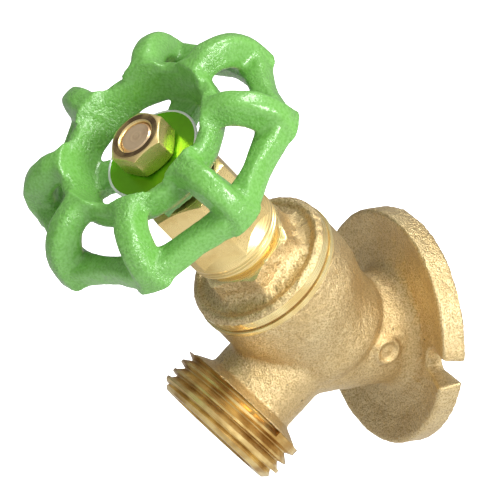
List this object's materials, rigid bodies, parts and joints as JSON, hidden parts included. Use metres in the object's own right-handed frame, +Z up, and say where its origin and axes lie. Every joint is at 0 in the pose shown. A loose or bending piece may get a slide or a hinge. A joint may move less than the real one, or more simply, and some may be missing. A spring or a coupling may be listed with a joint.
{
  "type": "sillcock",
  "caption": "Angled brass sillcock with a round wall flange, a hose-threaded spout and a green eight-spoked handwheel that opens and closes it.",
  "frame": {"origin": "centre of the wall flange's back face, on the inlet axis", "axes": "+Y out of the inlet into the wall, +Z up, the valve projects towards -Y and is symmetric about X = 0 apart from the handwheel's spokes"},
  "size_m": [0.056, 0.0786, 0.0881],
  "materials": {
    "cast_brass": "as cast, fine grain",
    "machined_brass": "turned, bright",
    "green_paint": "gloss enamel over a rough casting",
    "anodised_plate": "green anodised, bare silver rim",
    "rubber": "matt",
    "packing": "graphite packing"
  },
  "bodies": {
    "valve": {"valve_body": "cast_brass", "bonnet_gasket": "rubber", "bonnet": "cast_brass", "packing_washer": "machined_brass", "stem_packing": "packing", "packing_gland": "machined_brass", "packing_nut": "machined_brass"},
    "washer": {"seat_washer": "rubber"},
    "stem": {"stem": "machined_brass", "bibb_screw": "machined_brass", "handwheel": "green_paint", "handwheel_plate": "anodised_plate", "handle_nut": "machined_brass"}
  },
  "joints": [
    {"name": "stem_rise", "type": "slide", "parent": "valve", "child": "washer", "axis": [0, -0.7071, 0.7071], "range_m": [0, 0.00635]},
    {"name": "stem_turn", "type": "hinge", "parent": "washer", "child": "stem", "pos_m": [0, -0.01555, 0], "axis": [0, -0.7071, 0.7071], "range_deg": [0, 900]}
  ],
  "couplings": [
    {"joint": "stem_rise", "follows": "stem_turn", "m_per_rad": 0.00040425}
  ]
}
